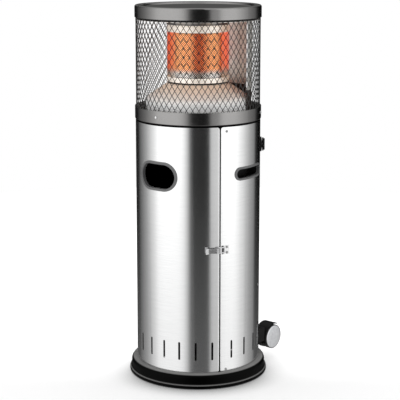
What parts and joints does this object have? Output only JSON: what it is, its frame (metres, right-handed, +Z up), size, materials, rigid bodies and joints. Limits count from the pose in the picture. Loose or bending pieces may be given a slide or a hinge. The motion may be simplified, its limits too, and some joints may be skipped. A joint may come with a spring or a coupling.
{
  "type": "patio heater",
  "caption": "Drum shaped cabinet gas patio heater with a caged emitter on top, a hinged door with a toggle latch, side handles, a push and turn knob and rear casters.",
  "frame": {"origin": "on the floor, on the drum's axis", "axes": "+Z up along the drum's axis, -Y out of the door's middle, +X to the right as seen from the front, on the latch's side"},
  "size_m": [0.436, 0.479, 1.1566],
  "materials": {
    "base_black": "satin black",
    "stainless": "polished",
    "zinc_steel": "plain",
    "dark_metal": "dark grey metallic",
    "guard_metal": "dark grey metallic",
    "bright_fastener": "bright",
    "heat_steel": "heat dulled",
    "bright_sheet": "bright",
    "emitter_steel": "heat tinted",
    "black_trim": "matt black",
    "latch_steel": "bright",
    "brass_fittings": "plain",
    "mixer_iron": "plain",
    "probe_ceramic": "glazed",
    "probe_metal": "plain",
    "wheel_black": "matt black",
    "cap_silver": "silver"
  },
  "bodies": {
    "root": {"base_pan": "base_black", "rear_shell": "stainless", "hinge_post": "zinc_steel", "latch_post": "zinc_steel", "hinge_leaf_fixed": "zinc_steel", "hinge_pin": "zinc_steel", "valve_bracket": "zinc_steel", "deck_plate": "dark_metal", "guard_ring": "dark_metal", "lid": "dark_metal", "guard_mesh": "guard_metal", "shell_rivets": "bright_fastener", "ring_screws": "bright_fastener", "lid_liner": "heat_steel", "lid_spacers": "heat_steel", "burner_stand": "heat_steel", "burner_cup": "heat_steel", "flame_tube": "heat_steel", "rear_reflector": "bright_sheet", "burner_skirt": "bright_sheet", "emitter_screen": "emitter_steel", "emitter_cap": "emitter_steel", "handle_bezel_right": "black_trim", "handle_bezel_left": "black_trim", "knob_bezel": "black_trim", "caster_bracket_right": "black_trim", "caster_bracket_left": "black_trim", "piezo_igniter": "black_trim", "tilt_switch": "black_trim", "latch_keeper": "latch_steel", "injector": "brass_fittings", "gas_valve": "brass_fittings", "inlet_nipple": "brass_fittings", "feed_pipe": "brass_fittings", "mixer_tube": "mixer_iron", "spark_electrode": "probe_ceramic", "thermocouple": "probe_metal"},
    "door": {"door_panel": "stainless", "access_bezel": "black_trim", "door_stiffeners": "zinc_steel", "hinge_leaf_door": "zinc_steel", "latch_base": "latch_steel", "latch_pivot_pin": "latch_steel"},
    "latch_lever": {"latch_lever": "latch_steel", "hook_pin": "latch_steel"},
    "latch_hook": {"latch_hook": "latch_steel"},
    "knob_stem": {"valve_spindle": "brass_fittings"},
    "knob": {"control_knob": "black_trim"},
    "caster_right": {"caster_hood_right": "black_trim", "caster_pins_right": "probe_metal"},
    "wheel_right_outer": {"wheel_right_outer": "wheel_black", "wheel_cap_right_outer": "cap_silver"},
    "wheel_right_inner": {"wheel_right_inner": "wheel_black", "wheel_cap_right_inner": "cap_silver"},
    "caster_left": {"caster_hood_left": "black_trim", "caster_pins_left": "probe_metal"},
    "wheel_left_outer": {"wheel_left_outer": "wheel_black", "wheel_cap_left_outer": "cap_silver"},
    "wheel_left_inner": {"wheel_left_inner": "wheel_black", "wheel_cap_left_inner": "cap_silver"}
  },
  "joints": [
    {"name": "door_hinge", "type": "hinge", "parent": "root", "child": "door", "pos_m": [-0.16661, -0.09542, 0.412], "axis": [0, 0, -1], "range_deg": [0, 100]},
    {"name": "latch_lever_pivot", "type": "hinge", "parent": "door", "child": "latch_lever", "pos_m": [0.17106, -0.10401, 0.4295], "axis": [0, 0, 1], "range_deg": [0, 108]},
    {"name": "latch_hook_pivot", "type": "hinge", "parent": "latch_lever", "child": "latch_hook", "pos_m": [0.16468, -0.10949, 0.4295], "axis": [0, 0, 1], "range_deg": [-135, 0]},
    {"name": "knob_push", "type": "slide", "parent": "root", "child": "knob_stem", "axis": [-0.7431, -0.6691, 0], "range_m": [0, 0.003], "stiffness_N_per_m": 1500},
    {"name": "knob_turn", "type": "hinge", "parent": "knob_stem", "child": "knob", "pos_m": [0.15309, 0.13784, 0.724], "axis": [0.7431, 0.6691, 0], "range_deg": [0, 180]},
    {"name": "caster_swivel_right", "type": "hinge", "parent": "root", "child": "caster_right", "pos_m": [0.114, 0.1753, 0.0877], "axis": [0, 1, 0], "continuous": true},
    {"name": "wheel_spin_right_outer", "type": "hinge", "parent": "caster_right", "child": "wheel_right_outer", "pos_m": [0.114, 0.222, 0.0737], "axis": [1, 0, 0], "continuous": true},
    {"name": "wheel_spin_right_inner", "type": "hinge", "parent": "caster_right", "child": "wheel_right_inner", "pos_m": [0.114, 0.222, 0.0737], "axis": [1, 0, 0], "continuous": true},
    {"name": "caster_swivel_left", "type": "hinge", "parent": "root", "child": "caster_left", "pos_m": [-0.114, 0.1753, 0.0877], "axis": [0, 1, 0], "continuous": true},
    {"name": "wheel_spin_left_outer", "type": "hinge", "parent": "caster_left", "child": "wheel_left_outer", "pos_m": [-0.114, 0.222, 0.0737], "axis": [1, 0, 0], "continuous": true},
    {"name": "wheel_spin_left_inner", "type": "hinge", "parent": "caster_left", "child": "wheel_left_inner", "pos_m": [-0.114, 0.222, 0.0737], "axis": [1, 0, 0], "continuous": true}
  ],
  "couplings": [
    {"joint": "latch_hook_pivot", "follows": "latch_lever_pivot", "ratio": -1.25}
  ]
}
